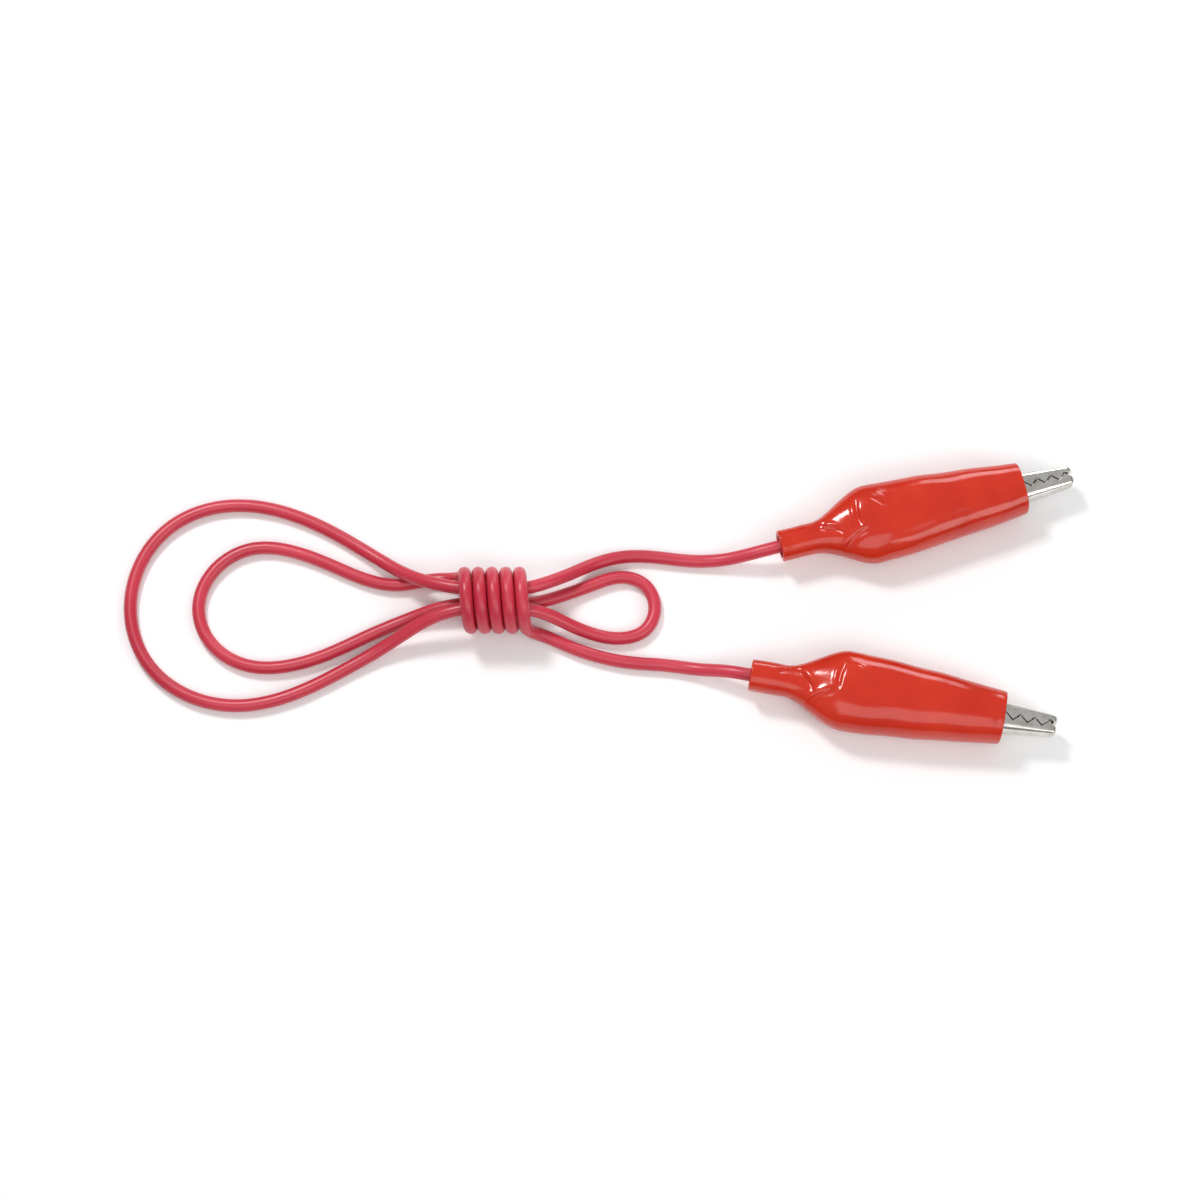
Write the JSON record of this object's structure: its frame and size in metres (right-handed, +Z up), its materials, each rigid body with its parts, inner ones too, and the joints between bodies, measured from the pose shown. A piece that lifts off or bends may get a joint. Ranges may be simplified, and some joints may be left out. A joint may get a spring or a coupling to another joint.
{
  "type": "alligator clip lead",
  "caption": "Double-ended test lead: a sprung alligator clip in a soft red boot at each end of one thin wire, which is looped and wound round itself.",
  "frame": {"origin": "centre of the box round the two clips, on the surface that the lead lies on", "axes": "+X from the loops towards the jaws, +Y from clip b towards clip a, +Z up"},
  "size_m": [0.1322, 0.0399, 0.0093],
  "materials": {
    "boot_vinyl": "glossy soft vinyl",
    "wire_vinyl": "satin vinyl",
    "plated_steel": "bright nickel plate",
    "spring_steel": "drawn wire",
    "copper": "bare strands",
    "solder": "dull"
  },
  "bodies": {
    "lead": {"clip_a_fixed_jaw": "plated_steel", "clip_a_rivet": "plated_steel", "clip_a_spring": "spring_steel", "clip_a_strands": "copper", "clip_a_solder": "solder", "clip_a_boot": "boot_vinyl", "clip_b_fixed_jaw": "plated_steel", "clip_b_rivet": "plated_steel", "clip_b_spring": "spring_steel", "clip_b_strands": "copper", "clip_b_solder": "solder", "clip_b_boot": "boot_vinyl", "wire_looped_run": "wire_vinyl", "wire_wrap": "wire_vinyl", "wire_short_run": "wire_vinyl"},
    "jaw_a": {"clip_a_moving_jaw": "plated_steel"},
    "jaw_b": {"clip_b_moving_jaw": "plated_steel"}
  },
  "joints": [
    {"name": "clip_a_open", "type": "hinge", "parent": "lead", "child": "jaw_a", "pos_m": [0.0062, 0.0142, 0.0036], "axis": [0, 0, 1], "range_deg": [0, 25], "stiffness_Nm_per_rad": 0.05, "deforming": ["clip_a_spring", "clip_a_boot"]},
    {"name": "clip_b_open", "type": "hinge", "parent": "lead", "child": "jaw_b", "pos_m": [0.0022, -0.0147, 0.0036], "axis": [0, 0, 1], "range_deg": [0, 25], "stiffness_Nm_per_rad": 0.05, "deforming": ["clip_b_spring", "clip_b_boot"]}
  ]
}
